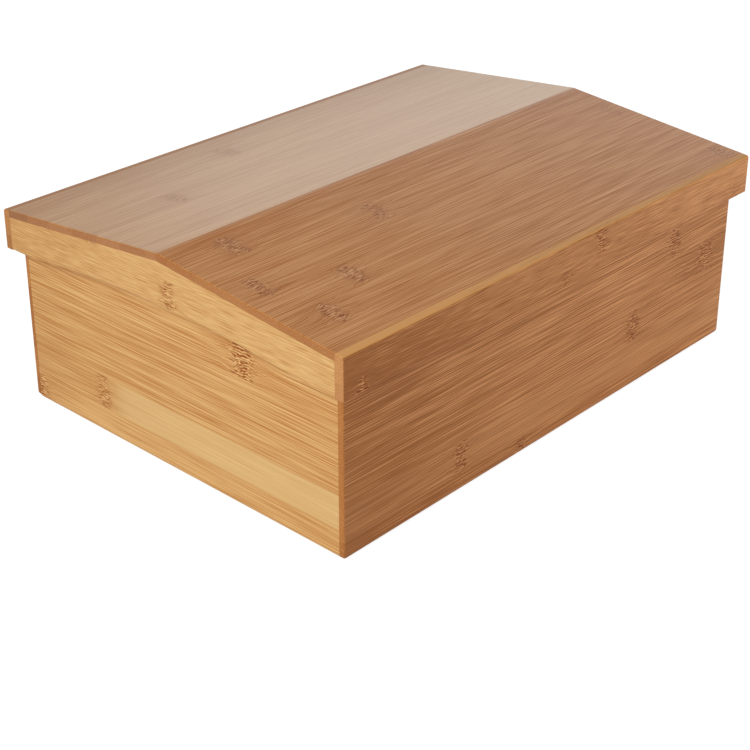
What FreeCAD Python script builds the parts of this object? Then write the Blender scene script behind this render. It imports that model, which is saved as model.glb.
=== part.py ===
import FreeCAD, Part
import os

import Sketcher
from FreeCAD import Rotation, Vector

# A bamboo bread box: a plain box with rabbeted corners, a shelf that parts the bread
# compartment from a shallow drawer, and a gable lid that lifts off by the arches in its ends.
#
# Millimetres. The origin is the middle of the footprint, on the surface that the box stands
# on. +X runs along the length, +Y points out of the drawer's side and +Z points up.

# Every size that can be chosen by itself. The pitch is in degrees.
SIZES = {
    # the box
    "body_length": 385.0,
    "body_depth": 281.0,
    "wall": 7.0,
    "corner_lap": 3.8,
    "groove_depth": 3.0,
    "floor_raise": 4.0,
    "floor_thickness": 5.0,
    "shelf_height": 45.0,
    "shelf_thickness": 5.0,
    "base_radius": 3.1,
    "wall_arris": 1.2,
    # the lid
    "lid_clearance": 1.5,
    "lid_board": 6.0,
    "eave_height": 134.6,
    "skirt_depth": 26.6,
    "roof_pitch": 5.6,
    "roof_thickness": 4.8,
    "seat_gap": 0.2,
    "arch_chord": 240.0,
    "arch_rise": 7.8,
    "eave_radius": 1.8,
    "lid_arris": 1.0,
    "foot_arris": 1.2,
    "batten_width": 26.0,
    "batten_depth": 5.0,
    # the drawer and what it runs on
    "runner_width": 8.0,
    "runner_height": 3.0,
    "running_gap": 0.3,
    "side_gap": 1.0,
    "front_gap": 0.8,
    "drawer_headroom": 2.0,
    "drawer_rear_gap": 4.0,
    "drawer_board": 6.0,
    "drawer_groove": 3.0,
    "drawer_floor": 3.0,
    "drawer_floor_raise": 3.0,
    "drawer_dado": 2.0,
    "drawer_back_inset": 8.0,
    "drawer_back_drop": 4.0,
    "notch_width": 96.0,
    "notch_depth": 16.0,
    "notch_radius": 11.0,
    "notch_lip": 4.0,
    "drawer_arris": 1.0,
}

# Sizes that follow from the ones above, as expressions on the sheet.
SLOPE = "tan(sizes.roof_pitch * 1 deg)"
ROOF_DROP = "(sizes.roof_thickness / cos(sizes.roof_pitch * 1 deg))"
HALF_LENGTH = "(sizes.body_length / 2)"
HALF_DEPTH = "(sizes.body_depth / 2)"
INNER_HALF_LENGTH = f"({HALF_LENGTH} - sizes.wall)"
INNER_HALF_DEPTH = f"({HALF_DEPTH} - sizes.wall)"
LAP_DEPTH = "(sizes.wall - sizes.corner_lap)"
FLOOR_TOP = "(sizes.floor_raise + sizes.floor_thickness)"
SHELF_TOP = "(sizes.shelf_height + sizes.shelf_thickness)"

OVERHANG = "(sizes.lid_clearance + sizes.lid_board)"
LID_LENGTH = f"(sizes.body_length + 2 * {OVERHANG})"
LID_HALF_DEPTH = f"({HALF_DEPTH} + {OVERHANG})"
GABLE_HALF_DEPTH = f"({HALF_DEPTH} + sizes.lid_clearance)"
RIM_BOTTOM = "(sizes.eave_height - sizes.skirt_depth)"
# underside of the roof panels at the rails' inner faces and at the ridge
ROOF_FOOT = f"(sizes.eave_height + sizes.lid_board * {SLOPE})"
GABLE_SIDE = f"({ROOF_FOOT} - {ROOF_DROP})"
GABLE_PEAK = f"(sizes.eave_height + {LID_HALF_DEPTH} * {SLOPE} - {ROOF_DROP})"
# top of the long walls, which follows the roof's underside
WALL_TOP = f"(sizes.eave_height + {OVERHANG} * {SLOPE} - {ROOF_DROP} - sizes.seat_gap)"
WALL_TOP_INSIDE = f"({WALL_TOP} + sizes.wall * {SLOPE})"

DRAWER_LOW = f"({FLOOR_TOP} + sizes.runner_height + sizes.running_gap)"
DRAWER_HALF_WIDTH = f"({INNER_HALF_LENGTH} - sizes.side_gap)"
DRAWER_INNER_HALF = f"({DRAWER_HALF_WIDTH} - sizes.drawer_board)"
LIP = "(sizes.corner_lap - sizes.seat_gap)"
DRAWER_FRONT_HEIGHT = "(sizes.shelf_height - 2 * sizes.front_gap)"
SIDE_HEIGHT = f"(sizes.shelf_height - sizes.drawer_headroom - {DRAWER_LOW})"
SIDE_FRONT = f"({HALF_DEPTH} - {LIP})"
SIDE_REAR = f"(sizes.drawer_rear_gap - {INNER_HALF_DEPTH})"
SIDE_LENGTH = f"({SIDE_FRONT} - {SIDE_REAR})"
DRAWER_FLOOR_TOP = "(sizes.drawer_floor_raise + sizes.drawer_floor)"
HALF_NOTCH = "(sizes.notch_width / 2)"

TOLERANCE = 1e-4
TURNED_ROUND = Rotation(Vector(0, 0, 1), 180)

doc = FreeCAD.newDocument("bread_box")
sheet = doc.addObject("Spreadsheet::Sheet", "sizes")
for row, (alias, number) in enumerate(SIZES.items(), start=1):
    sheet.set(f"A{row}", alias)
    sheet.set(f"B{row}", str(number))
    sheet.setAlias(f"B{row}", alias)
doc.recompute()

pieces = []


def value(expression):
    """The number that an expression on the sheet has now."""
    return float(sheet.evalExpression(str(expression)))


def place(piece, x="0", y="0", z="0", turned=False):
    """Put a piece at a place tied to the sheet, turned half round the vertical if asked."""
    if turned:
        piece.Placement = FreeCAD.Placement(Vector(), TURNED_ROUND)
    for axis, expression in (("x", x), ("y", y), ("z", z)):
        piece.setExpression(f"Placement.Base.{axis}", expression)
    pieces.append(piece)
    doc.recompute()
    return piece


def new_body(label):
    """An empty body with the piece's name."""
    body = doc.addObject("PartDesign::Body", label)
    body.Label = label
    return body


def origin_plane(body, role):
    """One of the body's own origin planes."""
    return next(f for f in body.Origin.OriginFeatures if f.Role == role)


def arc_over(chord, rise):
    """Heights of the crown and the centre of an arc over a chord that is centred at zero."""
    radius = f"({chord} ^ 2 / (8 * {rise}) + {rise} / 2)"
    return rise, f"({rise} - {radius})"


def tie(sketch, kind, point, expression):
    """Hold a point of a sketch at a distance from the origin that the sheet gives."""
    index = sketch.addConstraint(Sketcher.Constraint(kind, -1, 1, *point, value(expression)))
    sketch.setExpression(f"Constraints[{index}]", expression)


def draw(body, name, role, *loops):
    """Sketch closed loops on an origin plane, with every corner tied to the sheet.

    A corner is (across, up), or (across, up, arc) where an arc from arc_over() leads to the
    next corner.
    """
    sketch = body.newObject("Sketcher::SketchObject", name)
    sketch.AttachmentSupport = [(origin_plane(body, role), "")]
    sketch.MapMode = "FlatFace"
    for loop in loops:
        spots = [Vector(value(corner[0]), value(corner[1]), 0) for corner in loop]
        starts, ends = [], []
        for corner, spot, following in zip(loop, spots, spots[1:] + spots[:1]):
            if len(corner) == 2:
                index = sketch.addGeometry(Part.LineSegment(spot, following), False)
                starts.append((index, 1))
                ends.append((index, 2))
                continue
            crown, centre = corner[2]
            index = sketch.addGeometry(Part.Arc(spot, Vector(0, value(crown), 0), following), False)
            forward = sketch.getPoint(index, 1).isEqual(spot, TOLERANCE)
            starts.append((index, 1 if forward else 2))
            ends.append((index, 2 if forward else 1))
            tie(sketch, "DistanceY", (index, 3), centre)
        for end, start in zip(ends, starts[1:] + starts[:1]):
            sketch.addConstraint(Sketcher.Constraint("Coincident", *end, *start))
        for corner, start in zip(loop, starts):
            tie(sketch, "DistanceX", start, corner[0])
            tie(sketch, "DistanceY", start, corner[1])
    doc.recompute()
    return sketch


def rectangle(left, right, low, high):
    """A rectangular loop for draw()."""
    return [(left, low), (right, low), (right, high), (left, high)]


def pad(body, sketch, length, both_ways=True, reverse=False):
    """Thicken a sketch, to both sides of its plane or to one."""
    feature = body.newObject("PartDesign::Pad", f"{sketch.Name}_pad")
    feature.Profile = sketch
    feature.SideType = "Symmetric" if both_ways else "One side"
    feature.Reversed = reverse
    feature.setExpression("Length", length)
    sketch.Visibility = False
    doc.recompute()
    return feature


def cut(body, sketch, reverse=False, both_ways=False):
    """Cut a sketch right through the body, and make sure that it took wood away."""
    before = body.Shape.Volume
    feature = body.newObject("PartDesign::Pocket", f"{sketch.Name}_cut")
    feature.Profile = sketch
    feature.SideType = "Symmetric" if both_ways else "One side"
    feature.Type = "ThroughAll"
    feature.Reversed = reverse
    sketch.Visibility = False
    doc.recompute()
    if body.Shape.Volume >= before - TOLERANCE:
        raise ValueError(f"{feature.Name} cuts nothing")
    return feature


def along(**levels):
    """A test for edges whose ends all lie at the levels given, such as y=0, z=3."""
    def test(point):
        return all(abs(getattr(point, axis) - value(level)) < TOLERANCE
                   for axis, level in levels.items())
    return test


def on_slope(x):
    """A test for edges whose ends all lie in the roof's pitch through y = 0, at one x."""
    def test(point):
        return abs(point.x - value(x)) < TOLERANCE and abs(point.z - point.y * value(SLOPE)) < TOLERANCE
    return test


def round_off(body, radius, *tests):
    """Round every edge whose ends pass one of the tests."""
    base = body.Tip
    names = []
    for test in tests:
        found = [f"Edge{index}" for index, edge in enumerate(base.Shape.Edges, start=1)
                 if all(test(vertex.Point) for vertex in edge.Vertexes)]
        if not found:
            raise ValueError(f"{body.Label} lacks an edge to round")
        names += found
    feature = body.newObject("PartDesign::Fillet", f"{body.Name}_rounding")
    feature.Base = (base, sorted(set(names)))
    feature.setExpression("Radius", radius)
    doc.recompute()
    return feature


# ---------------------------------------------------------------- the box


def grooved_face(across):
    """The inner face of a wall with its two grooves, as corners from the bottom up."""
    deep = f"({across} - sizes.groove_depth)"
    return [
        (across, "0"),
        (across, "sizes.floor_raise"),
        (deep, "sizes.floor_raise"),
        (deep, FLOOR_TOP),
        (across, FLOOR_TOP),
        (across, "sizes.shelf_height"),
        (deep, "sizes.shelf_height"),
        (deep, SHELF_TOP),
        (across, SHELF_TOP),
    ]


def cut_corner_rabbets(body):
    """Rabbet both ends of a long wall, so that the end boards sit behind a thin lap."""
    left = rectangle(f"-{HALF_LENGTH}", f"-{INNER_HALF_LENGTH}", "sizes.corner_lap", "sizes.wall")
    right = rectangle(INNER_HALF_LENGTH, HALF_LENGTH, "sizes.corner_lap", "sizes.wall")
    cut(body, draw(body, f"{body.Name}_rabbets", "XY_Plane", left, right), reverse=True)


def front_board():
    """The long wall without the drawer. Its outer face is at y = 0 in its own frame."""
    body = new_body("front_board")
    section = [("0", "0")] + grooved_face("sizes.wall")
    section += [("sizes.wall", WALL_TOP_INSIDE), ("0", WALL_TOP)]
    pad(body, draw(body, "front_section", "YZ_Plane", section), "sizes.body_length")
    cut_corner_rabbets(body)
    left, right = f"-{HALF_LENGTH}", HALF_LENGTH
    round_off(body, "sizes.base_radius", along(y=0, z=0), along(x=left, z=0), along(x=right, z=0))
    round_off(body, "sizes.wall_arris", along(x=left, y=0), along(x=right, y=0))
    return place(body, y=f"-{HALF_DEPTH}")


def back_board():
    """The long wall over the drawer, rabbeted along its foot for the shelf."""
    body = new_body("back_board")
    top = f"({WALL_TOP} - sizes.shelf_height)"
    top_inside = f"({WALL_TOP_INSIDE} - sizes.shelf_height)"
    section = [
        ("0", "0"),
        ("sizes.corner_lap", "0"),
        ("sizes.corner_lap", "sizes.shelf_thickness"),
        ("sizes.wall", "sizes.shelf_thickness"),
        ("sizes.wall", top_inside),
        ("0", top),
    ]
    pad(body, draw(body, "back_section", "YZ_Plane", section), "sizes.body_length")
    cut_corner_rabbets(body)
    round_off(body, "sizes.wall_arris", along(x=f"-{HALF_LENGTH}", y=0), along(x=HALF_LENGTH, y=0))
    return place(body, y=HALF_DEPTH, z="sizes.shelf_height", turned=True)


def end_board(label, x, turned):
    """An end wall between the laps of the long walls. Its outer face is at x = 0."""
    body = new_body(label)
    section = [("0", "0")] + grooved_face("sizes.wall")
    section += [("sizes.wall", WALL_TOP), ("0", WALL_TOP)]
    length = "(sizes.body_depth - 2 * sizes.corner_lap)"
    pad(body, draw(body, f"{label}_section", "XZ_Plane", section), length)
    round_off(body, "sizes.base_radius", along(x=0, z=0))
    return place(body, x=x, turned=turned)


def inner_panel(label, height, thickness):
    """A panel held in the grooves of three walls that reaches the lap on the drawer's side."""
    panel = doc.addObject("Part::Box", label)
    panel.Label = label
    half_width = f"({INNER_HALF_LENGTH} + sizes.groove_depth)"
    rear = f"({INNER_HALF_DEPTH} + sizes.groove_depth)"
    panel.setExpression("Length", f"2 * {half_width}")
    panel.setExpression("Width", f"{rear} + {HALF_DEPTH} - sizes.corner_lap")
    panel.setExpression("Height", thickness)
    return place(panel, x=f"-{half_width}", y=f"-{rear}", z=height)


def drawer_runner(label, x, turned):
    """A strip along an end wall, with its upper arris eased, that carries a drawer side."""
    body = new_body(label)
    strip = rectangle("0", "sizes.runner_width", "0", "sizes.runner_height")
    length = "(sizes.body_depth - sizes.wall - sizes.corner_lap)"
    pad(body, draw(body, f"{label}_section", "XZ_Plane", strip), length)
    round_off(body, "sizes.drawer_arris", along(x="sizes.runner_width", z="sizes.runner_height"))
    middle = "((sizes.wall - sizes.corner_lap) / 2)"
    return place(body, x=x, y=middle, z=FLOOR_TOP, turned=turned)


front_board()
back_board()
end_board("left_end_board", f"-{HALF_LENGTH}", False)
end_board("right_end_board", HALF_LENGTH, True)
inner_panel("bottom_board", "sizes.floor_raise", "sizes.floor_thickness")
inner_panel("shelf_board", "sizes.shelf_height", "sizes.shelf_thickness")
drawer_runner("left_runner", f"-{INNER_HALF_LENGTH}", False)
drawer_runner("right_runner", INNER_HALF_LENGTH, True)


# ---------------------------------------------------------------- the drawer


def notched_outline(half_width, low, high):
    """A board's outline with the finger notch in the middle of its upper edge."""
    notch_low = f"({high} - sizes.notch_depth)"
    return [
        (f"-{half_width}", low),
        (half_width, low),
        (half_width, high),
        (HALF_NOTCH, high),
        (HALF_NOTCH, notch_low),
        (f"-{HALF_NOTCH}", notch_low),
        (f"-{HALF_NOTCH}", high),
        (f"-{half_width}", high),
    ]


def drawer_front():
    """A lipped front: the lips cover the end boards, the thick middle fits between the sides."""
    body = new_body("drawer_front")
    block_low = f"({DRAWER_LOW} - sizes.front_gap)"
    lips = notched_outline(HALF_LENGTH, "0", DRAWER_FRONT_HEIGHT)
    block = notched_outline(DRAWER_INNER_HALF, block_low, DRAWER_FRONT_HEIGHT)
    groove_low = f"({block_low} + sizes.drawer_floor_raise)"
    groove = rectangle("(sizes.wall - sizes.drawer_groove)", "sizes.wall",
                       groove_low, f"({groove_low} + sizes.drawer_floor)")
    pad(body, draw(body, "front_lips", "XZ_Plane", lips), LIP, both_ways=False, reverse=True)
    pad(body, draw(body, "front_block", "XZ_Plane", block), "sizes.wall",
        both_ways=False, reverse=True)
    cut(body, draw(body, "front_groove", "YZ_Plane", groove), both_ways=True)
    left, right = f"-{HALF_LENGTH}", HALF_LENGTH
    notch_low = f"({DRAWER_FRONT_HEIGHT} - sizes.notch_depth)"
    for radius, level in (("sizes.notch_radius", notch_low), ("sizes.notch_lip", DRAWER_FRONT_HEIGHT)):
        round_off(body, radius, along(x=f"-{HALF_NOTCH}", z=level), along(x=HALF_NOTCH, z=level))
    round_off(body, "sizes.base_radius", along(y=0, z=0), along(x=left, z=0), along(x=right, z=0))
    round_off(body, "sizes.wall_arris", along(x=left, y=0), along(x=right, y=0))
    return place(body, y=HALF_DEPTH, z="sizes.front_gap", turned=True)


def drawer_side(label, hand):
    """A drawer side; hand is -1 at -X and 1 at +X. Its outer face is at x = 0."""
    body = new_body(label)
    inner = f"({-hand} * sizes.drawer_board)"
    groove = f"({-hand} * (sizes.drawer_board - sizes.drawer_groove))"
    dado = f"({-hand} * (sizes.drawer_board - sizes.drawer_dado))"
    section = [
        ("0", "0"),
        (inner, "0"),
        (inner, "sizes.drawer_floor_raise"),
        (groove, "sizes.drawer_floor_raise"),
        (groove, DRAWER_FLOOR_TOP),
        (inner, DRAWER_FLOOR_TOP),
        (inner, SIDE_HEIGHT),
        ("0", SIDE_HEIGHT),
    ]
    pad(body, draw(body, f"{label}_section", "XZ_Plane", section), SIDE_LENGTH)
    rear = f"(sizes.drawer_back_inset - {SIDE_LENGTH} / 2)"
    seat = rectangle(inner, dado, rear, f"({rear} + sizes.drawer_board)")
    cut(body, draw(body, f"{label}_dado", "XY_Plane", seat), reverse=True)
    middle = f"(({SIDE_FRONT} + {SIDE_REAR}) / 2)"
    return place(body, x=f"{hand} * {DRAWER_HALF_WIDTH}", y=middle, z=DRAWER_LOW)


def drawer_back():
    """The drawer's back, in the dados of its sides and on top of its floor."""
    body = new_body("drawer_back")
    half_width = f"({DRAWER_INNER_HALF} + sizes.drawer_dado)"
    height = f"({SIDE_HEIGHT} - {DRAWER_FLOOR_TOP} - sizes.drawer_back_drop)"
    section = rectangle("0", "sizes.drawer_board", "0", height)
    pad(body, draw(body, "drawer_back_section", "YZ_Plane", section), f"2 * {half_width}")
    return place(body, y=f"{SIDE_REAR} + sizes.drawer_back_inset",
                 z=f"{DRAWER_LOW} + {DRAWER_FLOOR_TOP}")


def drawer_floor():
    """The thin floor that slides into the grooves of the sides and the front."""
    panel = doc.addObject("Part::Box", "drawer_bottom")
    panel.Label = "drawer_bottom"
    half_width = f"({DRAWER_INNER_HALF} + sizes.drawer_groove)"
    front = f"({INNER_HALF_DEPTH} + sizes.drawer_groove)"
    panel.setExpression("Length", f"2 * {half_width}")
    panel.setExpression("Width", f"{front} - {SIDE_REAR}")
    panel.setExpression("Height", "sizes.drawer_floor")
    return place(panel, x=f"-{half_width}", y=SIDE_REAR, z=f"{DRAWER_LOW} + sizes.drawer_floor_raise")


drawer_front()
drawer_side("drawer_left_side", -1)
drawer_side("drawer_right_side", 1)
drawer_back()
drawer_floor()


# ---------------------------------------------------------------- the lid


def lid_rail(label, y, turned):
    """A long rail of the lid, planed along its top to the pitch of the roof."""
    body = new_body(label)
    section = [
        ("0", "0"),
        ("sizes.lid_board", "0"),
        ("sizes.lid_board", f"(sizes.skirt_depth + sizes.lid_board * {SLOPE})"),
        ("0", "sizes.skirt_depth"),
    ]
    pad(body, draw(body, f"{label}_section", "YZ_Plane", section), LID_LENGTH)
    round_off(body, "sizes.eave_radius", along(y=0, z="sizes.skirt_depth"))
    round_off(body, "sizes.lid_arris", along(y=0, z=0), along(x=f"-{LID_LENGTH} / 2", y=0),
              along(x=f"{LID_LENGTH} / 2", y=0))
    return place(body, y=y, z=RIM_BOTTOM, turned=turned)


def lid_gable(label, x, turned):
    """A gabled end of the lid, with a long shallow arch along its foot to lift it by."""
    body = new_body(label)
    side = f"({GABLE_SIDE} - {RIM_BOTTOM})"
    peak = f"({GABLE_PEAK} - {RIM_BOTTOM})"
    half_arch = "(sizes.arch_chord / 2)"
    outline = [
        (f"-{GABLE_HALF_DEPTH}", "0"),
        (f"-{half_arch}", "0", arc_over("sizes.arch_chord", "sizes.arch_rise")),
        (half_arch, "0"),
        (GABLE_HALF_DEPTH, "0"),
        (GABLE_HALF_DEPTH, side),
        ("0", peak),
        (f"-{GABLE_HALF_DEPTH}", side),
    ]
    pad(body, draw(body, f"{label}_outline", "YZ_Plane", outline), "sizes.lid_board",
        both_ways=False)
    round_off(body, "sizes.foot_arris", along(x=0, z=0), along(x="sizes.lid_board", z=0))
    return place(body, x=x, z=RIM_BOTTOM, turned=turned)


def roof_panel(label, y, turned):
    """One slope of the roof, between its rail and the plumb joint at the ridge."""
    body = new_body(label)
    rise = f"({GABLE_HALF_DEPTH} * {SLOPE})"
    section = [
        ("0", "0"),
        ("0", f"-{ROOF_DROP}"),
        (GABLE_HALF_DEPTH, f"({rise} - {ROOF_DROP})"),
        (GABLE_HALF_DEPTH, rise),
    ]
    pad(body, draw(body, f"{label}_section", "YZ_Plane", section), LID_LENGTH)
    round_off(body, "sizes.lid_arris", on_slope(f"-{LID_LENGTH} / 2"), on_slope(f"{LID_LENGTH} / 2"))
    return place(body, y=y, z=ROOF_FOOT, turned=turned)


def ridge_batten():
    """A strip under the ridge, planed to both slopes, that backs the panels' joint."""
    body = new_body("ridge_batten")
    half_width = "(sizes.batten_width / 2)"
    edge = f"(-{half_width} * {SLOPE})"
    foot = f"({edge} - sizes.batten_depth)"
    section = [
        ("0", "0"),
        (f"-{half_width}", edge),
        (f"-{half_width}", foot),
        (half_width, foot),
        (half_width, edge),
    ]
    pad(body, draw(body, "batten_section", "YZ_Plane", section),
        f"({LID_LENGTH} - 2 * sizes.lid_board)")
    return place(body, z=GABLE_PEAK)


lid_rail("lid_front_rail", f"-{LID_HALF_DEPTH}", False)
lid_rail("lid_back_rail", LID_HALF_DEPTH, True)
lid_gable("lid_left_gable", f"-{LID_LENGTH} / 2", False)
lid_gable("lid_right_gable", f"{LID_LENGTH} / 2", True)
roof_panel("roof_front_panel", f"-{GABLE_HALF_DEPTH}", False)
roof_panel("roof_back_panel", GABLE_HALF_DEPTH, True)
ridge_batten()


# ---------------------------------------------------------------- export


def check(thing):
    """Stop if an object of the document failed to build."""
    if {"Invalid", "Error"} & set(thing.State):
        raise ValueError(f"{thing.Name} failed: {thing.State}")


doc.recompute()
for thing in doc.Objects:
    check(thing)
for piece in pieces:
    if piece.Shape.isNull() or not piece.Shape.isValid():
        raise ValueError(f"{piece.Label} has no valid shape")

os.makedirs("parts", exist_ok=True)
for piece in pieces:
    piece.Shape.exportStep(f"parts/{piece.Label}.step")
    size = piece.Shape.BoundBox
    print(f"{piece.Label:18s} {size.XLength:7.1f} {size.YLength:7.1f} {size.ZLength:7.1f}"
          f"  {len(piece.Shape.Solids)} solid, {piece.Shape.Volume / 1000:8.1f} cm3")
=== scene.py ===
"""A bamboo bread box with a drawer under it and a gable lid that lifts off.

Every board is flat-pressed bamboo: strips about 23 mm wide, glued side by side, each with its
own tone, its own fibres and a knot every few hundred millimetres. The boards come from the
frame as they are, and each gets its own paint here. The paint is laid out in millimetres, and
the studio in metres.
"""

import logging
import math
import random
from collections.abc import Mapping, Sequence
from dataclasses import dataclass, field, replace
from enum import Enum

import bmesh
import bpy
from mathutils import Color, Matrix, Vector


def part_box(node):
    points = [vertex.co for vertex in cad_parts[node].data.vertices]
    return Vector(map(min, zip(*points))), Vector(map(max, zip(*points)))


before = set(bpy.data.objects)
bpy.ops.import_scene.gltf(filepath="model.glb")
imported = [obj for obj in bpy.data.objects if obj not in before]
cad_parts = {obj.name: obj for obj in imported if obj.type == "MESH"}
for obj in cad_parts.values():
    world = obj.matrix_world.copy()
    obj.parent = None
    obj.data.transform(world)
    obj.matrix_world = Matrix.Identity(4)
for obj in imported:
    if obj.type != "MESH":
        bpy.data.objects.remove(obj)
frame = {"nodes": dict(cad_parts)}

LOG = logging.getLogger("bread_box")
MM = 1000.0
HALF = 0.5
SCREEN_WHITE = 255.0

Span = tuple[float, float]
Triple = tuple[float, float, float]
Light = tuple[float, float, float, float]


# ---------------------------------------------------------------- shader maths


class Signal:
    """A number that varies over a surface: one output of a node, with arithmetic."""

    def __init__(self, paint: "Paint", socket: bpy.types.NodeSocket) -> None:
        """Wrap a socket.

        Args:
            paint: the node tree that the socket is in.
            socket: an output socket.
        """
        self.paint = paint
        self.socket = socket

    def math(self, operation: str, *operands: "Signal | float") -> "Signal":
        """Apply a Math node.

        Args:
            operation: the node's operation.
            operands: its inputs, in order.

        Returns:
            The node's output.
        """
        node = self.paint.node("ShaderNodeMath", {"operation": operation},
                               dict(enumerate(operands)))
        return Signal(self.paint, node.outputs[0])

    def __add__(self, other: "Signal | float") -> "Signal":
        """Add."""
        return self.math("ADD", self, other)

    __radd__ = __add__

    def __sub__(self, other: "Signal | float") -> "Signal":
        """Take other away from this."""
        return self.math("SUBTRACT", self, other)

    def __rsub__(self, other: float) -> "Signal":
        """Take this away from other."""
        return self.math("SUBTRACT", other, self)

    def __mul__(self, other: "Signal | float") -> "Signal":
        """Multiply."""
        return self.math("MULTIPLY", self, other)

    __rmul__ = __mul__

    def __truediv__(self, other: "Signal | float") -> "Signal":
        """Divide this by other."""
        return self.math("DIVIDE", self, other)

    def __rtruediv__(self, other: float) -> "Signal":
        """Divide other by this."""
        return self.math("DIVIDE", other, self)

    def __abs__(self) -> "Signal":
        """Drop the sign."""
        return self.math("ABSOLUTE", self)

    def floor(self) -> "Signal":
        """Round down."""
        return self.math("FLOOR", self)

    def least(self, other: "Signal | float") -> "Signal":
        """Take the smaller of the two."""
        return self.math("MINIMUM", self, other)

    def most(self, other: "Signal | float") -> "Signal":
        """Take the larger of the two."""
        return self.math("MAXIMUM", self, other)

    def wave(self, length: float) -> "Signal":
        """Swing between -1 and 1 once in each length."""
        return self.math("SINE", self * (math.tau / length))

    def equals(self, whole: int) -> "Signal":
        """Give 1 where this rounds to a whole number, and 0 elsewhere."""
        return self.math("COMPARE", self, float(whole), HALF)

    def rise(self, low: float, high: float) -> "Signal":
        """Climb smoothly from 0 at low to 1 at high, which may also lie below low.

        Args:
            low: where the result is 0.
            high: where the result is 1.

        Returns:
            The smoothed step.
        """
        node = self.paint.node(
            "ShaderNodeMapRange",
            {"interpolation_type": "SMOOTHSTEP", "clamp": True},
            {"Value": self, "From Min": low, "From Max": high, "To Min": 0.0, "To Max": 1.0})
        return Signal(self.paint, node.outputs["Result"])


@dataclass(frozen=True)
class Tint:
    """A colour as it looks on a screen, from 0 to 255."""

    red: float
    green: float
    blue: float

    def linear(self) -> Light:
        """Turn the colour into the light that it stands for.

        Returns:
            Red, green and blue from 0 to 1, and an alpha of 1.
        """
        shown = Color([part / SCREEN_WHITE for part in (self.red, self.green, self.blue)])
        return (*shown.from_srgb_to_scene_linear(), 1.0)


def grey(level: float) -> Light:
    """Give a grey light of one level."""
    return level, level, level, 1.0


class Paint:
    """The nodes of one material, or of the world."""

    def __init__(self, owner: bpy.types.Material | bpy.types.World) -> None:
        """Clear a material or a world for new nodes.

        Args:
            owner: the material or the world.
        """
        self.owner = owner
        self.owner.use_nodes = True
        self.tree = self.owner.node_tree
        self.tree.nodes.clear()

    @staticmethod
    def find(sockets: bpy.types.bpy_prop_collection, key: str | int) -> bpy.types.NodeSocket:
        """Find a socket by its place, its identifier or its name.

        Args:
            sockets: the inputs or outputs of a node.
            key: the place, identifier or name.

        Returns:
            The socket.
        """
        if isinstance(key, int):
            return sockets[key]
        for socket in sockets:
            if socket.identifier == key:
                return socket
        return sockets[key]

    def node(self, kind: str, settings: Mapping[str, object] | None = None,
             inputs: Mapping[str | int, object] | None = None) -> bpy.types.Node:
        """Add a node: its settings first, then the values or links of its sockets.

        Args:
            kind: the node's type.
            settings: the node's own properties; "ramp" is a ramp's interpolation, and "stops"
                gives its places and colours.
            inputs: a Signal, a socket or a plain value for each socket named.

        Returns:
            The node.
        """
        node = self.tree.nodes.new(kind)
        for name, setting in (settings or {}).items():
            if name == "stops":
                self.set_stops(node.color_ramp, setting)
            elif name == "ramp":
                node.color_ramp.interpolation = setting
            else:
                setattr(node, name, setting)
        for key, value in (inputs or {}).items():
            socket = self.find(node.inputs, key)
            if isinstance(value, Signal):
                self.tree.links.new(value.socket, socket)
            elif isinstance(value, bpy.types.NodeSocket):
                self.tree.links.new(value, socket)
            else:
                socket.default_value = value
        return node

    @staticmethod
    def set_stops(ramp: bpy.types.ColorRamp, stops: Sequence[tuple[float, Light]]) -> None:
        """Give a ramp its stops.

        Args:
            ramp: the ramp.
            stops: the place and the colour of each stop, from the lowest place up.
        """
        while len(ramp.elements) > 1:
            ramp.elements.remove(ramp.elements[-1])
        ramp.elements[0].position, ramp.elements[0].color = stops[0]
        for place, colour in stops[1:]:
            ramp.elements.new(place).color = colour

    def blend(self, base: bpy.types.NodeSocket | Light, top: bpy.types.NodeSocket | Light,
              share: Signal | float) -> bpy.types.NodeSocket:
        """Lay one colour over another.

        Args:
            base: the colour underneath, as a socket or a light.
            top: the colour on top.
            share: how much of it there is.

        Returns:
            The mixed colour.
        """
        node = self.node("ShaderNodeMix",
                         {"data_type": "RGBA", "blend_type": "MIX", "clamp_factor": True},
                         {"Factor_Float": share, "A_Color": base, "B_Color": top})
        return self.find(node.outputs, "Result_Color")

    def scaled(self, vector: bpy.types.NodeSocket, factors: Triple) -> bpy.types.NodeSocket:
        """Multiply a vector by three plain numbers.

        Args:
            vector: the vector.
            factors: the number for each of its parts.

        Returns:
            The scaled vector.
        """
        node = self.node("ShaderNodeVectorMath", {"operation": "MULTIPLY"},
                         {0: vector, 1: factors})
        return node.outputs["Vector"]

    def finish(self, surface: bpy.types.NodeSocket) -> bpy.types.Material:
        """Join a shader to the material's output and give the material back."""
        self.node("ShaderNodeOutputMaterial", inputs={"Surface": surface})
        return self.owner


# ---------------------------------------------------------------- the marks of bamboo


@dataclass(frozen=True)
class Marks:
    """A noise drawn out along the strips: its marks' size, its finer layers and its pattern."""

    length: float
    width: float
    layers: float
    pattern: float


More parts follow.
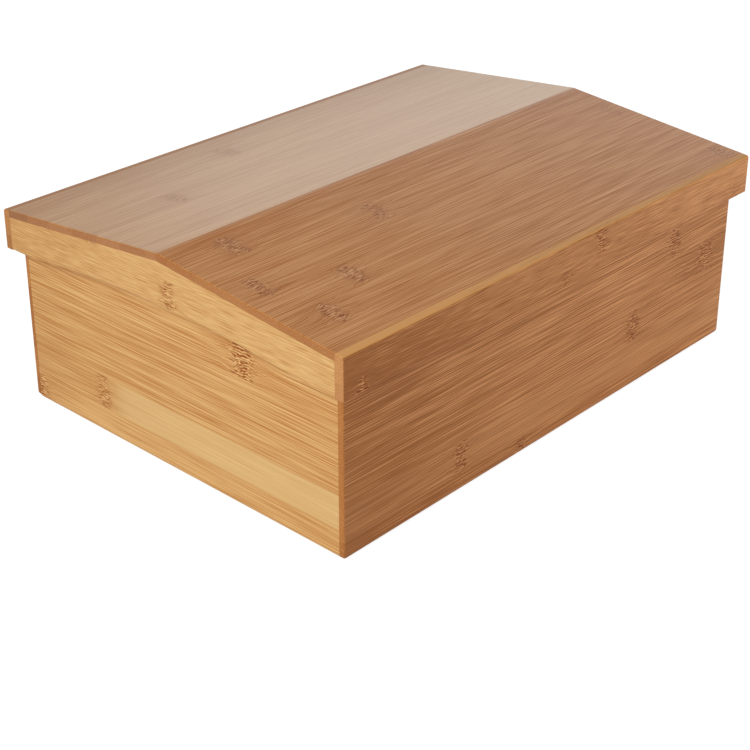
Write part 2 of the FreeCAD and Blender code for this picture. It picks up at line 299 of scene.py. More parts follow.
FINE = Marks(length=50.0, width=0.4, layers=1.0, pattern=0.0)
THREAD = Marks(length=110.0, width=0.95, layers=1.0, pattern=1.0)
FLAME = Marks(length=120.0, width=3.6, layers=1.0, pattern=2.0)
CLOUD = Marks(length=110.0, width=24.0, layers=0.0, pattern=3.0)
STROKE = Marks(length=4.6, width=1.0, layers=1.0, pattern=4.0)
WANDER = Marks(length=14.0, width=5.0, layers=1.0, pattern=5.0)
PORE = Marks(length=60.0, width=0.8, layers=2.0, pattern=6.0)
CURL = Marks(length=6.0, width=3.0, layers=1.0, pattern=7.0)
SWAY = Marks(length=22.0, width=9.0, layers=0.0, pattern=8.0)
VEIN = Marks(length=140.0, width=2.6, layers=1.0, pattern=9.0)
RIPPLE = Marks(length=5.0, width=2.6, layers=1.0, pattern=10.0)

NOISE_ROUGHNESS = 0.6
NOISE_MIDDLE = 0.5
NOISE_GAIN = 4.0

# Each strip is sawn from its own stretch of a cane this many millimetres long.
CANE_LENGTH = 3000.0


@dataclass(frozen=True)
class Figure:
    """How the marks on a board's faces add up.

    A number named after a mark is how much of it there is. A step is a pair: where a mark
    starts to show, and where it shows in full. The reed's width and bend and the steps of the
    seam and the outline are in millimetres.
    """

    least_contrast: float = 0.35
    thread: float = 0.4
    fine: float = 0.95
    reed: float = 0.3
    vein: float = 0.05
    cloud: float = 0.03
    reed_width: float = 1.8
    reed_bend: float = 0.4
    reed_depth: float = 0.5
    reed_change: float = 0.35
    line_step: Span = (0.1, 0.0)
    line: float = 0.2
    dash_thread: float = 0.8
    dash_reed: float = 0.6
    dash_step: Span = (-0.7, -1.8)
    dash: float = 0.7
    seam_step: Span = (0.32, 0.1)
    seam: float = 0.35
    outline_step: Span = (0.55, 0.1)


@dataclass(frozen=True)
class Tangle:
    """How a knot looks: its shape, how it bends the fibres, and its light and dark strokes.

    The outer and inner distances, of the knot and of its tail, are in half widths of the knot.
    The wander, the taper, the curl and the ripple's bend and width are in millimetres.
    """

    wander: float = 3.2
    taper: float = 2.5
    outer: float = 1.35
    inner: float = 0.35
    tail_outer: float = 4.0
    tail_inner: float = 1.0
    curl: float = 0.55
    ripple_bend: float = 1.3
    ripple_width: float = 1.9
    ripple: float = 0.4
    stroke: float = 0.5
    shade: float = 0.16
    tail_shade: float = 0.1
    light_step: Span = (0.0, 0.5)
    light: float = 0.8
    dark_step: Span = (0.1, -0.45)
    dark: float = 0.9


@dataclass(frozen=True)
class Cut:
    """How a board's sawn sides look: its long edges, and the grain on its ends with painted
    glints.
    """

    facing_step: Span = (0.55, 0.8)
    edge_light: float = 1.2
    edge_tone: float = 0.75
    edge_thread: float = 0.2
    edge_fine: float = 0.15
    pore_step: Span = (0.1, 0.9)
    pore: float = 0.75
    glint_step: Span = (-0.2, -0.9)
    glint: float = 0.6
    middle_tone: float = 0.5
    light_strip: float = 0.5
    dark_strip: float = 2.2
    seam: float = 0.25


@dataclass(frozen=True)
class Feel:
    """What the marks do to the gloss and the relief.

    The ridge's step is in millimetres from the ridge, and the relief's depth is in metres.
    """

    rough_fine: float = 0.03
    rough_knot: float = 0.08
    rough_end: float = 0.15
    raised_fine: float = 0.012
    raised_knot: float = 0.036
    ridge_step: Span = (3.0, 0.0)
    ridge_groove: float = 0.4
    depth: float = 0.0003


@dataclass(frozen=True)
class Chance:
    """The ranges that the looks of a strip or a knot with none given are drawn from."""

    tone: Span = (0.25, 0.8)
    streaks: Span = (0.3, 0.7)
    knot_strength: Span = (0.5, 0.9)
    knotted_share: float = 0.75


FIGURE = Figure()
TANGLE = Tangle()
CUT = Cut()
FEEL = Feel()
CHANCE = Chance()


# ---------------------------------------------------------------- boards


class Lay(Enum):
    """A board's axes: along its strips, across them, and through its thickness.

    A slope counts across from the ridge.
    """

    LONG_WALL = ("x", "z", "y")
    END_WALL = ("y", "z", "x")
    SLOPE = ("x", "slope", "z")
    FLAT = ("x", "y", "z")
    FLAT_ACROSS = ("y", "x", "z")


@dataclass(frozen=True)
class Bamboo:
    """One finish of oiled or lacquered bamboo: colours, streaks, gloss, strips. Some are lit and
    shaded copies of one bamboo: painted light.
    """

    light: Tint
    dark: Tint
    pale: Tint
    streak: Tint
    knot: Tint
    edge: Tint
    end: Tint
    streaks: float = 0.6
    roughness: float = 0.3
    ior: float = 1.3
    seam_width: float = 22.9


@dataclass(frozen=True)
class Knot:
    """A knot in one strip: the band of tangled fibres that a joint of the cane leaves.

    Its place along the board and its half width are in millimetres.
    """

    along: float
    strip: int
    strength: float = 1.0
    half_width: float = 7.0


@dataclass(frozen=True)
class Strip:
    """The look of one strip from 0 to 1: how light, how strongly streaked and how pale it is."""

    tone: float
    streaks: float = 0.5
    pale: float = 0.0


@dataclass(frozen=True)
class Change:
    """A change of tone between two places along one strip, or along every strip if none is named.

    The places are in millimetres. Several changes are painted light and shade, as noted where
    they are given.
    """

    start: float
    end: float
    tone: float = 0.0
    pale: float = 0.0
    strip: int | None = None


@dataclass(frozen=True)
class Board:
    """A board of the frame: where its seams are, and how its strips and knots look.

    first_seam is the lower side of the lowest strip in millimetres, reach is how long the
    fibres' marks are against a wall's, and the outlines are how much darker the limits of the
    board's length and width are.
    """

    node: str
    lay: Lay
    bamboo: Bamboo
    first_seam: float
    strips: tuple[Strip, ...] = ()
    knots: tuple[Knot, ...] = ()
    changes: tuple[Change, ...] = ()
    reach: float = 1.0
    # The outlines are dark joint lines, with painted shade in the joints and on the outer
    # arrises.
    outline_along: float = 0.0
    outline_across: float = 0.0
    seed: int = 1


class BambooPainter:
    """Writes the paint of one board as shader nodes, in the board's own millimetres."""

    def __init__(self, board: Board) -> None:
        """Read the board's place from the frame, and draw what chance decides.

        Args:
            board: the board to paint.
        """
        self.board = board
        self.bamboo = board.bamboo
        self.paint = Paint(bpy.data.materials.new(f"bamboo_{board.node}"))
        self.random = random.Random(board.seed)
        low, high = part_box(board.node)
        along, across, _ = board.lay.value
        self.ends = tuple(getattr(corner, along) * MM for corner in (low, high))
        if board.lay is Lay.SLOPE:
            self.sides = (0.0, max(abs(low.y), abs(high.y)) * MM)
        else:
            self.sides = tuple(getattr(corner, across) * MM for corner in (low, high))
        covered = self.sides[1] - board.first_seam
        self.count = max(1, math.ceil(covered / self.bamboo.seam_width))
        self.strips = self.choose_strips()
        self.knots = self.choose_knots()

    def choose_strips(self) -> list[Strip]:
        """Choose a look for every strip: the ones given, then chance ones.

        Returns:
            The strips from the lowest up.
        """
        given = list(self.board.strips[:self.count])
        chance = [Strip(self.random.uniform(*CHANCE.tone), self.random.uniform(*CHANCE.streaks))
                  for _ in range(self.count - len(given))]
        return given + chance

    def choose_knots(self) -> list[Knot]:
        """Choose the board's knots: the ones given, or a chance one in most strips.

        Returns:
            The knots.
        """
        if self.board.knots:
            return list(self.board.knots)
        return [Knot(self.random.uniform(*self.ends), strip,
                     self.random.uniform(*CHANCE.knot_strength))
                for strip in range(self.count) if self.random.random() < CHANCE.knotted_share]

    def parts(self, vector: bpy.types.NodeSocket) -> dict[str, Signal]:
        """Part a vector into the numbers that a board's lay names.

        Args:
            vector: the vector.

        Returns:
            x, y and z, and on a slope the distance from the ridge.
        """
        node = self.paint.node("ShaderNodeSeparateXYZ", inputs={0: vector})
        parts = {name: Signal(self.paint, node.outputs[axis]) for axis, name in enumerate("xyz")}
        if self.board.lay is Lay.SLOPE:
            parts["slope"] = abs(parts["y"])
        return parts

    def measure(self) -> None:
        """Find a point's place and strip, and whether it's on a sawn side."""
        source = self.paint.node("ShaderNodeTexCoord")
        place = self.parts(source.outputs["Object"])
        facing = self.parts(source.outputs["Normal"])
        along, across, through = self.board.lay.value
        self.along = place[along] * MM
        self.across = place[across] * MM
        self.through = place[through] * MM
        self.on_end = abs(facing[along]).rise(*CUT.facing_step)
        self.on_edge = abs(facing[across]).rise(*CUT.facing_step)
        self.counted = (self.across - self.board.first_seam) / self.bamboo.seam_width
        self.strip = self.counted.floor()

    def sort_strips(self) -> None:
        """Give each strip its tone, its streaks, its paleness and its own stretch of cane."""
        stops = [(index / self.count,
                  (strip.tone, strip.streaks, self.random.random(), strip.pale))
                 for index, strip in enumerate(self.strips)]
        ramp = self.paint.node("ShaderNodeValToRGB", {"ramp": "CONSTANT", "stops": stops},
                               {"Fac": self.counted / self.count})
        split = self.paint.node("ShaderNodeSeparateColor", inputs={0: ramp.outputs["Color"]})
        self.strip_tone, self.streakiness, self.stretch = (
            Signal(self.paint, split.outputs[name]) for name in ("Red", "Green", "Blue"))
        self.tone = self.strip_tone
        self.pale = Signal(self.paint, ramp.outputs["Alpha"])
        for change in self.board.changes:
            beyond = self.along.rise(change.start, change.end)
            if change.strip is not None:
                beyond = beyond * self.strip.equals(change.strip)
            if change.tone:
                self.tone = self.tone + beyond * change.tone
            if change.pale:
                self.pale = self.pale + beyond * change.pale

    def lay_grain(self, across: Signal) -> None:
        """Set the coordinates that the marks follow.

        Args:
            across: the place across the board, straight or bent.
        """
        joined = self.paint.node("ShaderNodeCombineXYZ", inputs={
            0: self.along + self.stretch * CANE_LENGTH, 1: across, 2: self.through})
        self.grain = joined.outputs[0]

    def drawn(self, marks: Marks, reach: float = 1.0) -> Signal:
        """Draw one kind of mark.

        Args:
            marks: the marks.
            reach: how long they are against their own length.

        Returns:
            The noise, about -1 to 1.
        """
        factors = (1 / (marks.length * reach), 1 / marks.width, 1 / marks.width)
        noise = self.paint.node(
            "ShaderNodeTexNoise", {"noise_dimensions": "4D"},
            {"Vector": self.paint.scaled(self.grain, factors), "W": marks.pattern,
             "Scale": 1.0, "Detail": marks.layers, "Roughness": NOISE_ROUGHNESS})
        return (Signal(self.paint, noise.outputs[0]) - NOISE_MIDDLE) * NOISE_GAIN

    def bend_grain(self) -> None:
        """Mark the knots and their strokes, and bend the fibres beside them."""
        self.lay_grain(self.across)
        self.knot = self.knot_mask()
        self.tail = self.near_knots(self.along, 0.0, TANGLE.tail_outer, TANGLE.tail_inner)
        curl = self.drawn(CURL) * TANGLE.curl + self.drawn(SWAY)
        rippled = self.across + self.drawn(RIPPLE) * TANGLE.ripple_bend
        self.stroke = (rippled.wave(TANGLE.ripple_width) * TANGLE.ripple
                       + self.drawn(STROKE) * TANGLE.stroke)
        self.wavy = self.across + curl * self.tail
        self.lay_grain(self.wavy)

    def knot_mask(self) -> Signal | float:
        """Mark the knots, as bands that wander and that taper to the strip's sides.

        Returns:
            0 beside the knots, up to their strength at their middle.
        """
        wandering = self.along + self.drawn(WANDER) * TANGLE.wander
        from_middle = abs(self.counted - self.strip - HALF) / HALF
        taper = from_middle * from_middle * TANGLE.taper
        return self.near_knots(wandering, taper, TANGLE.outer, TANGLE.inner)

    def near_knots(self, along: Signal, taper: Signal | float, outer: float,
                   inner: float) -> Signal | float:
        """Mark what lies near a knot in the knot's own strip.

        Args:
            along: the place along the board.
            taper: how much farther off the knot a point counts, in millimetres.
            outer: where the mark starts, in half widths of the knot.
            inner: where it's full.

        Returns:
            0 away from the knots, up to their strength near their middle.
        """
        mask: Signal | float = 0.0
        for knot in self.knots:
            away = abs(along - knot.along) + taper
            near = away.rise(knot.half_width * outer, knot.half_width * inner)
            mask = near * self.strip.equals(knot.strip) * knot.strength + mask
        return mask

    def seam_mask(self) -> Signal:
        """Mark the glue lines between strips.

        Returns:
            1 on a glue line, 0 beside it.
        """
        from_seam = abs(self.counted - (self.counted + HALF).floor()) * self.bamboo.seam_width
        return from_seam.rise(*FIGURE.seam_step)

    def joint_shade_mask(self) -> Signal:
        """Mark the board's own limits, where it meets its neighbours: dark joint lines, and
        painted shade in the joints and on the outer arrises.

        Returns:
            The outlines' strength at the limits, 0 farther in.
        """
        board = self.board
        along = (self.along - self.ends[0]).least(self.ends[1] - self.along)
        across = (self.across - self.sides[0]).least(self.sides[1] - self.across)
        return (along.rise(*FIGURE.outline_step) * board.outline_along).most(
            across.rise(*FIGURE.outline_step) * board.outline_across)

    def face(self) -> bpy.types.NodeSocket:
        """Mix the colour of the board's broad faces.

        Returns:
            The colour.
        """
        blend = self.paint.blend
        streak, light, knot = (tint.linear() for tint in (
            self.bamboo.streak, self.bamboo.light, self.bamboo.knot))
        vein = self.drawn(VEIN, self.board.reach)
        flame = self.drawn(FLAME, self.board.reach)
        reed = ((self.wavy + flame * FIGURE.reed_bend).wave(FIGURE.reed_width)
                * (FIGURE.reed_depth + vein * FIGURE.reed_change))
        figure = (self.thread * FIGURE.thread + self.fine * FIGURE.fine
                  + reed * FIGURE.reed + vein * FIGURE.vein)
        tone = (self.tone + figure * (FIGURE.least_contrast + self.streakiness)
                + self.drawn(CLOUD) * FIGURE.cloud)
        colour = blend(self.bamboo.dark.linear(), light, tone)
        colour = blend(colour, self.bamboo.pale.linear(), self.pale)

        lines = abs(vein).rise(*FIGURE.line_step) * FIGURE.line
        dashes = self.thread * FIGURE.dash_thread + self.fine + reed * FIGURE.dash_reed
        dashes = dashes.rise(*FIGURE.dash_step) * FIGURE.dash
        streaks = lines.most(dashes) * self.streakiness * self.bamboo.streaks
        colour = blend(colour, streak, streaks)
        colour = blend(colour, self.bamboo.dark.linear(), self.seam_mask() * FIGURE.seam)

        shade = self.tail * TANGLE.tail_shade + self.knot * TANGLE.shade
        colour = blend(colour, streak, shade)
        for tint, step, share in ((light, TANGLE.light_step, TANGLE.light),
                                  (knot, TANGLE.dark_step, TANGLE.dark)):
            colour = blend(colour, tint, self.stroke.rise(*step) * self.knot * share)
        # dark joint lines, with painted shade in the joints and on the outer arrises
        return blend(colour, knot, self.joint_shade_mask())

    def edge(self) -> bpy.types.NodeSocket:
        """Mix the colour of the board's long edges.

        Returns:
            The colour.
        """
        share = (CUT.edge_light - self.tone * CUT.edge_tone
                 + self.thread * CUT.edge_thread + self.fine * CUT.edge_fine)
        return self.paint.blend(self.bamboo.streak.linear(), self.bamboo.edge.linear(), share)

    def end(self) -> bpy.types.NodeSocket:
        """Mix the colour of the board's end grain: the pores of every strip, and painted glints.

        Returns:
            The colour.
        """
        blend = self.paint.blend
        streak = self.bamboo.streak.linear()
        pores = self.drawn(PORE)
        colour = blend(self.bamboo.end.linear(), streak, pores.rise(*CUT.pore_step) * CUT.pore)
        # painted glints: light specks where the pore noise is low
        colour = blend(colour, self.bamboo.pale.linear(),
                       pores.rise(*CUT.glint_step) * CUT.glint)
        colour = blend(colour, self.bamboo.light.linear(),
                       (self.strip_tone - CUT.middle_tone) * CUT.light_strip)
        colour = blend(colour, streak, (CUT.middle_tone - self.strip_tone) * CUT.dark_strip)
        return blend(colour, self.bamboo.knot.linear(), self.seam_mask() * CUT.seam)

    def relief(self) -> bpy.types.NodeSocket:
        """Raise the fibres and the knots' strokes, and open the joint at the ridge.

        Returns:
            The bumped normal.
        """
        height = self.fine * FEEL.raised_fine + self.stroke * self.knot * FEEL.raised_knot
        if self.board.lay is Lay.SLOPE:
            height = height - self.across.rise(*FEEL.ridge_step) * FEEL.ridge_groove
        bump = self.paint.node("ShaderNodeBump", inputs={
            "Strength": 1.0, "Distance": FEEL.depth, "Height": height})
        return bump.outputs[0]

    def material(self) -> bpy.types.Material:
        """Build the whole paint.

        Returns:
            The material.
        """
        self.measure()
        self.sort_strips()
        self.bend_grain()
        self.fine = self.drawn(FINE, self.board.reach)
        self.thread = self.drawn(THREAD, self.board.reach)
        colour = self.paint.blend(self.face(), self.edge(), self.on_edge)
        colour = self.paint.blend(colour, self.end(), self.on_end)
        roughness = (self.bamboo.roughness + self.fine * FEEL.rough_fine
                     + self.knot * FEEL.rough_knot + self.on_end * FEEL.rough_end)
        shader = self.paint.node("ShaderNodeBsdfPrincipled", inputs={
            "Base Color": colour, "Roughness": roughness, "Normal": self.relief(),
            "IOR": self.bamboo.ior})
        return self.paint.finish(shader.outputs[0])


# ---------------------------------------------------------------- finishes, and lit and shaded copies of one bamboo

# Painted light: the ends and the long sides are one bamboo. The ends' copy is golden and lighter,
# and the long sides' copy is redder and darker, for how light falls on each side. The rails'
# finishes build on the long sides' copy.
LIT_END_BAMBOO = Bamboo(
    light=Tint(233, 189, 124), dark=Tint(191, 126, 60), pale=Tint(230, 195, 134),
    streak=Tint(180, 106, 40), knot=Tint(150, 74, 10), edge=Tint(222, 172, 104),
    end=Tint(208, 142, 76), streaks=0.6)
SHADED_SIDE_BAMBOO = Bamboo(
    light=Tint(228, 161, 103), dark=Tint(163, 99, 46), pale=Tint(218, 164, 110),
    streak=Tint(146, 84, 32), knot=Tint(136, 66, 12), edge=Tint(214, 154, 90),
    end=Tint(188, 122, 62), streaks=0.8)
RIM = replace(SHADED_SIDE_BAMBOO, edge=Tint(220, 160, 94), end=Tint(208, 149, 92))
FAR_RIM = replace(SHADED_SIDE_BAMBOO, edge=Tint(186, 128, 78), end=Tint(198, 138, 80))
# Painted light: both slopes are one bamboo. ROOF is the front slope's copy, and the back slope's
# copy is paler and greyer for how that slope is lit.
ROOF = Bamboo(
    light=Tint(220, 160, 104), dark=Tint(178, 106, 36), pale=Tint(218, 172, 120),
    streak=Tint(158, 88, 26), knot=Tint(146, 74, 12), edge=Tint(218, 158, 92),
    end=Tint(178, 114, 52), streaks=0.6, roughness=0.18, ior=1.5, seam_width=22.7)
BACK_SLOPE_LIT_ROOF = Bamboo(
    light=Tint(218, 170, 120), dark=Tint(186, 130, 74), pale=Tint(214, 174, 126),
    streak=Tint(154, 98, 50), knot=Tint(150, 92, 40), edge=Tint(200, 150, 96),
    end=Tint(174, 110, 54), streaks=0.7, roughness=0.16, ior=1.5, seam_width=22.7)
PLAIN = Bamboo(
    light=Tint(230, 190, 132), dark=Tint(196, 142, 80), pale=Tint(232, 204, 156),
    streak=Tint(180, 118, 56), knot=Tint(158, 98, 40), edge=Tint(224, 180, 120),
    end=Tint(206, 150, 92), streaks=0.6, roughness=0.42)


# ---------------------------------------------------------------- sub-assemblies


@dataclass
class BoardSet:
    """A sub-assembly that is made of bamboo boards."""

    boards: list[Board] = field(default_factory=list)

    def dress(self, nodes: Mapping[str, bpy.types.Object]) -> None:
        """Paint every board.

        Args:
            nodes: the frame's objects by name.
        """
        for board in self.boards:
            self.dress_board(nodes[board.node], BambooPainter(board).material())
            LOG.info("painted %s", board.node)

    @staticmethod
    def dress_board(thing: bpy.types.Object, material: bpy.types.Material) -> None:
        """Put one material in every slot of an object.

        Args:
            thing: the object.
            material: the material.
        """
        if not thing.data.materials:
            thing.data.materials.append(material)
        for slot in range(len(thing.data.materials)):
            thing.data.materials[slot] = material


@dataclass
class Box(BoardSet):
    """The box: four walls, the floor, the shelf over the drawer and the drawer's runners."""

    wall_seam: float = -11.3
    end_seam: float = -4.2
    floor_seam: float = -137.0
    shelf_seam: float = -140.0
    left_runner_seam: float = -190.0
    right_runner_seam: float = 170.0

    def __post_init__(self) -> None:
        """Lay out the boards."""
        front = Board(
            "front_board", Lay.LONG_WALL, SHADED_SIDE_BAMBOO, self.wall_seam,
            strips=(Strip(0.4, 0.5), Strip(0.5, 0.3, 0.1), Strip(0.45, 0.5), Strip(0.43, 0.65),
                    Strip(0.48, 0.75), Strip(0.48, 0.7), Strip(0.5)),
            knots=(Knot(-33.3, 0), Knot(-92.0, 1), Knot(82.7, 2), Knot(166.7, 3, 1.0, 11.0),
                   Knot(126.7, 4), Knot(-40.0, 5)),
            # painted shade: the first change darkens the whole board toward its near-left end
            changes=(Change(-40.0, -200.0, tone=-0.4), Change(110.0, 150.0, tone=-0.2, strip=3)),
            outline_along=0.4, outline_across=0.3, seed=11)
        left = Board(
            "left_end_board", Lay.END_WALL, LIT_END_BAMBOO, self.end_seam,
            strips=(Strip(0.6, 0.35), Strip(0.5, 0.3), Strip(0.46, 0.45), Strip(0.48, 0.5),
                    Strip(0.49, 0.55), Strip(0.51, 0.5)),
            knots=(Knot(134.9, 0), Knot(68.2, 1, 0.9), Knot(-61.1, 4, 1.3, 11.0)),
            changes=(Change(70.0, 46.0, pale=0.6, strip=1),
                     # painted shade: this change darkens the board toward its far end
                     Change(60.0, 140.0, tone=-0.14)),
            outline_along=0.5, seed=12)
        self.boards = [
            front,
            Board("back_board", Lay.LONG_WALL, SHADED_SIDE_BAMBOO, self.wall_seam, seed=13,
                  outline_across=0.3),
            left,
            Board("right_end_board", Lay.END_WALL, LIT_END_BAMBOO, self.end_seam, seed=14,
                  outline_along=0.5),
            Board("bottom_board", Lay.FLAT, PLAIN, self.floor_seam, seed=15),
            Board("shelf_board", Lay.FLAT, PLAIN, self.shelf_seam, seed=16),
            Board("left_runner", Lay.FLAT_ACROSS, PLAIN, self.left_runner_seam, seed=17),
            Board("right_runner", Lay.FLAT_ACROSS, PLAIN, self.right_runner_seam, seed=18),
        ]


@dataclass
class Drawer(BoardSet):
    """The drawer: a lipped front, two sides, a back and a thin floor."""

    front_seam: float = -8.0
    side_seam: float = 4.0
    floor_seam: float = -135.0

    def __post_init__(self) -> None:
        """Lay out the boards."""
        self.boards = [
            Board("drawer_front", Lay.LONG_WALL, SHADED_SIDE_BAMBOO, self.front_seam, seed=21,
                  outline_across=0.3),
            Board("drawer_left_side", Lay.END_WALL, PLAIN, self.side_seam, seed=22),
            Board("drawer_right_side", Lay.END_WALL, PLAIN, self.side_seam, seed=23),
            Board("drawer_back", Lay.LONG_WALL, PLAIN, self.side_seam, seed=24),
            Board("drawer_bottom", Lay.FLAT, PLAIN, self.floor_seam, seed=25),
        ]


@dataclass
class Lid(BoardSet):
    """The lid: a rim of two rails and two arched gables, two roof panels and a batten."""

    rail_seam: float = 94.7
    gable_seam: float = 88.1
    roof_seam: float = -13.4
    batten_seam: float = -11.5
    rail_reach: float = 0.4
    gable_reach: float = 0.3

    def __post_init__(self) -> None:
        """Lay out the boards."""
        self.boards = [
            Board("lid_front_rail", Lay.LONG_WALL, RIM, self.rail_seam,
                  reach=self.rail_reach, strips=(Strip(0.4, 0.3), Strip(0.45, 0.3)),
                  knots=(Knot(-4.5, 0, 0.7), Knot(-185.8, 0, 1.3, 5.0), Knot(184.8, 0, 0.6),
                         Knot(31.5, 1)),
                  # painted shade and light: the rail darkens toward its near-left end and
                  # lightens toward its right end
                  changes=(Change(-40.0, -200.0, tone=-0.45), Change(60.0, 150.0, tone=0.15)),
                  outline_across=0.4, seed=31),
            Board("lid_back_rail", Lay.LONG_WALL, FAR_RIM, self.rail_seam,
                  reach=self.rail_reach, outline_across=0.4, seed=32),
            Board("lid_left_gable", Lay.END_WALL, LIT_END_BAMBOO, self.gable_seam,
                  reach=self.gable_reach,
                  strips=(Strip(0.5, 0.4, 0.1), Strip(0.55, 0.35, 0.15), Strip(0.55, 0.3, 0.15)),
                  # painted shade: the gable darkens toward its far end
                  changes=(Change(20.0, 140.0, tone=-0.25),),
                  knots=(Knot(-8.2, 1, 0.9, 6.0), Knot(61.0, 2, 0.5)),
                  outline_along=0.5, seed=33),
            Board("lid_right_gable", Lay.END_WALL, LIT_END_BAMBOO, self.gable_seam,
                  reach=self.gable_reach, outline_along=0.5, seed=34),
            Board("roof_front_panel", Lay.SLOPE, ROOF, self.roof_seam,
                  strips=(Strip(0.3, 0.8), Strip(0.4, 0.7), Strip(0.5, 0.6), Strip(0.55, 0.7),
                          Strip(0.52, 0.7), Strip(0.45, 0.8), Strip(0.5, 0.7)),
                  knots=(Knot(-160.0, 1, 1.2), Knot(-60.0, 2), Knot(186.7, 2, 0.4),
                         Knot(-181.3, 3, 1.1), Knot(-130.7, 4, 1.1), Knot(-169.3, 5, 1.2),
                         Knot(189.0, 6)),
                  # painted shade: the slope darkens toward its right end
                  changes=(Change(60.0, 200.0, tone=-0.15),),
                  outline_across=0.6, seed=35),
            Board("roof_back_panel", Lay.SLOPE, BACK_SLOPE_LIT_ROOF, self.roof_seam,
                  strips=(Strip(0.6, 0.5), Strip(0.42, 0.6), Strip(0.62, 0.5), Strip(0.42, 0.6),
                          Strip(0.58, 0.7), Strip(0.4, 0.7), Strip(0.1, 0.8)),
                  knots=(Knot(-128.0, 3, 0.6), Knot(-42.7, 5, 0.6)),
                  # painted light: the back slope grows paler toward its right end, where it
                  # mirrors more light
                  changes=(Change(-200.0, 80.0, pale=0.3),),
                  outline_across=0.6, seed=36),
            Board("ridge_batten", Lay.FLAT, PLAIN, self.batten_seam, seed=37),
        ]


# ---------------------------------------------------------------- studio


@dataclass(frozen=True)
class Floor:
    """The floor: its size, its drop under the box, its greys and its glow to the camera."""

    half: float = 9.0
    drop: float = 0.0003
    plain: float = 0.8
    shadowed: float = 0.35
    glow: float = 0.86


@dataclass(frozen=True)
class Card:
    """A card that stands behind the box, and how its light fades into the room's.

    It stands in the direction of its turn in degrees. The fades are in shares of its width and
    its height, from where it has the room's light to where it has its own. The slanting one
    counts its height plus the slant times its width.
    """

    level: float = 1.25
    turn: float = 28.0
    distance: float = 2.5
    half_width: float = 2.0
    height: float = 1.7
    side_fade: Span = (0.0, 0.25)
    top_fade: Span = (1.0, 0.45)
    slant: float = 0.58
    slant_fade: Span = (0.51, 0.55)


@dataclass(frozen=True)
class Lamp:
    """A square soft light: its place, what it faces, its side, its watts and its mirroring."""

    name: str
    place: Triple
    aim: Triple
    size: float
    power: float
    mirrored: bool = True


@dataclass(frozen=True)
class View:
    """The camera: its place, its turn and its dip in radians, its lens and its shift."""

    place: Triple = (-0.7546, -0.6820, 0.5430)
    turn: float = 0.7449
    dip: float = 0.4396
    lens: float = 80.21
    shift: float = -0.1298


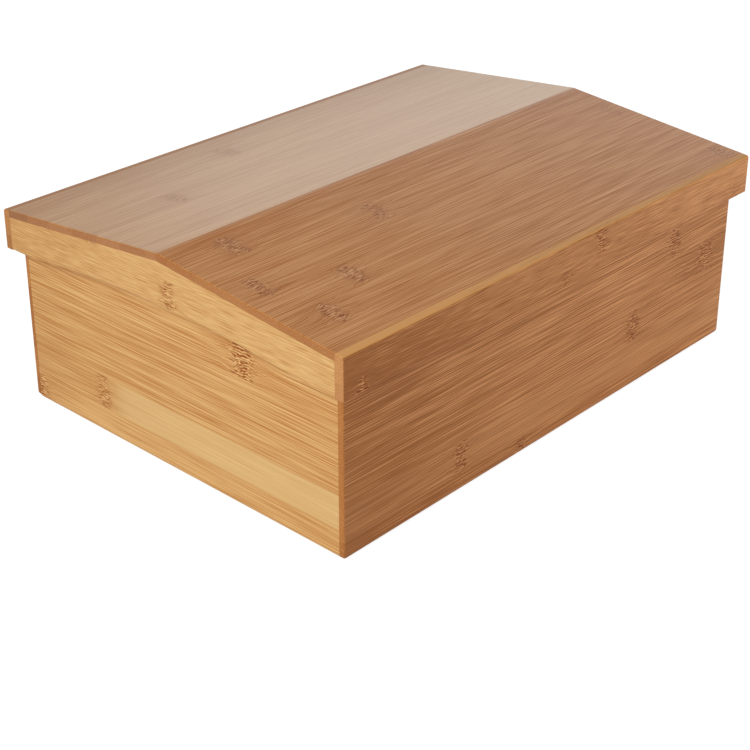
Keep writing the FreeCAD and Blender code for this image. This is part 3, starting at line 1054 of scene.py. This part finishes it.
@dataclass
class Studio:
    """A pale floor, a room's even light, two lamps, a white card behind, and the camera."""

    room: float = 0.47
    floor: Floor = Floor()
    card: Card = Card()
    view: View = View()
    lamps: tuple[Lamp, ...] = (
        Lamp("key", place=(-1.5, -0.25, 1.05), aim=(0.0, 0.0, 0.07), size=1.0, power=17.5),
        Lamp("fill", place=(0.55, -0.8, 0.2), aim=(0.15, -0.14, 0.06), size=0.35, power=1.9,
             mirrored=False))

    @staticmethod
    def sheet(name: str, corners: Sequence[Sequence[float]],
              material: bpy.types.Material) -> None:
        """Make one flat sheet that isn't part of the object.

        Args:
            name: the sheet's name.
            corners: its corners in order.
            material: its material.
        """
        mesh = bpy.data.meshes.new(name)
        shape = bmesh.new()
        shape.faces.new([shape.verts.new(corner) for corner in corners])
        shape.to_mesh(mesh)
        shape.free()
        mesh.materials.append(material)
        thing = bpy.data.objects.new(name, mesh)
        bpy.context.scene.collection.objects.link(thing)

    def lay_floor(self) -> None:
        """Lay a floor that looks white and keeps a faint shadow."""
        paint = Paint(bpy.data.materials.new("floor"))
        seen = paint.node("ShaderNodeLightPath")
        plain = paint.node("ShaderNodeBsdfDiffuse", inputs={"Color": grey(self.floor.plain)})
        faint = paint.node("ShaderNodeBsdfDiffuse", inputs={"Color": grey(self.floor.shadowed)})
        glow = paint.node("ShaderNodeEmission", inputs={"Color": grey(1.0),
                                                        "Strength": self.floor.glow})
        lit = paint.node("ShaderNodeAddShader", inputs={0: faint.outputs[0], 1: glow.outputs[0]})
        mixed = paint.node("ShaderNodeMixShader", inputs={
            0: seen.outputs["Is Camera Ray"], 1: plain.outputs[0], 2: lit.outputs[0]})
        half, level = self.floor.half, -self.floor.drop
        self.sheet("floor", [(-half, -half, level), (half, -half, level),
                             (half, half, level), (-half, half, level)],
                   paint.finish(mixed.outputs[0]))

    def stand_card(self) -> None:
        """Stand the card behind the box, for the lid's far slope to mirror."""
        card = self.card
        paint = Paint(bpy.data.materials.new("card"))
        place = paint.node("ShaderNodeTexCoord")
        split = paint.node("ShaderNodeSeparateXYZ", inputs={0: place.outputs["Generated"]})
        across, up = Signal(paint, split.outputs[0]), Signal(paint, split.outputs[2])
        share = (across.rise(*card.side_fade) * up.rise(*card.top_fade)
                 * (up + across * card.slant).rise(*card.slant_fade))
        colour = paint.blend(grey(self.room), grey(card.level), share)
        glow = paint.node("ShaderNodeEmission", inputs={"Color": colour})
        turn = math.radians(card.turn)
        centre = Vector((math.cos(turn), math.sin(turn), 0.0)) * card.distance
        side = Vector((-centre.y, centre.x, 0.0)).normalized() * card.half_width
        high = Vector((0.0, 0.0, card.height))
        self.sheet("card", [centre - side, centre + side, centre + side + high,
                            centre - side + high], paint.finish(glow.outputs[0]))

    def light_room(self) -> None:
        """Light everything evenly, and show white where nothing stands."""
        world = bpy.data.worlds.new("studio")
        bpy.context.scene.world = world
        paint = Paint(world)
        seen = paint.node("ShaderNodeLightPath")
        level = paint.node("ShaderNodeMapRange", inputs={
            "Value": seen.outputs["Is Camera Ray"], "To Min": self.room, "To Max": 1.0})
        background = paint.node("ShaderNodeBackground", inputs={"Strength": level.outputs[0]})
        paint.node("ShaderNodeOutputWorld", inputs={"Surface": background.outputs[0]})

    @staticmethod
    def hang(lamp: Lamp) -> None:
        """Hang a lamp.

        Args:
            lamp: the lamp.
        """
        light = bpy.data.lights.new(lamp.name, "AREA")
        light.size = lamp.size
        light.energy = lamp.power
        thing = bpy.data.objects.new(lamp.name, light)
        thing.location = lamp.place
        forward = Vector(lamp.aim) - Vector(lamp.place)
        thing.rotation_euler = forward.to_track_quat("-Z", "Y").to_euler()
        thing.visible_glossy = lamp.mirrored
        bpy.context.scene.collection.objects.link(thing)

    def set_camera(self) -> None:
        """Set the camera up."""
        view = self.view
        data = bpy.data.cameras.new("camera")
        data.lens = view.lens
        data.shift_y = view.shift
        thing = bpy.data.objects.new("camera", data)
        thing.location = view.place
        forward = Vector((math.cos(view.dip) * math.cos(view.turn),
                          math.cos(view.dip) * math.sin(view.turn), -math.sin(view.dip)))
        thing.rotation_euler = forward.to_track_quat("-Z", "Y").to_euler()
        bpy.context.scene.collection.objects.link(thing)
        bpy.context.scene.camera = thing

    def build(self) -> None:
        """Build the whole studio."""
        self.lay_floor()
        self.stand_card()
        self.light_room()
        for lamp in self.lamps:
            self.hang(lamp)
        self.set_camera()
        bpy.context.scene.view_settings.view_transform = "Standard"
        LOG.info("built the studio")


def main() -> None:
    """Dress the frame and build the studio."""
    logging.basicConfig(level=logging.INFO, format="%(name)s: %(message)s")
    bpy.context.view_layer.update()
    for assembly in (Box(), Drawer(), Lid()):
        assembly.dress(frame["nodes"])
    Studio().build()


if __name__ == "__main__":
    main()
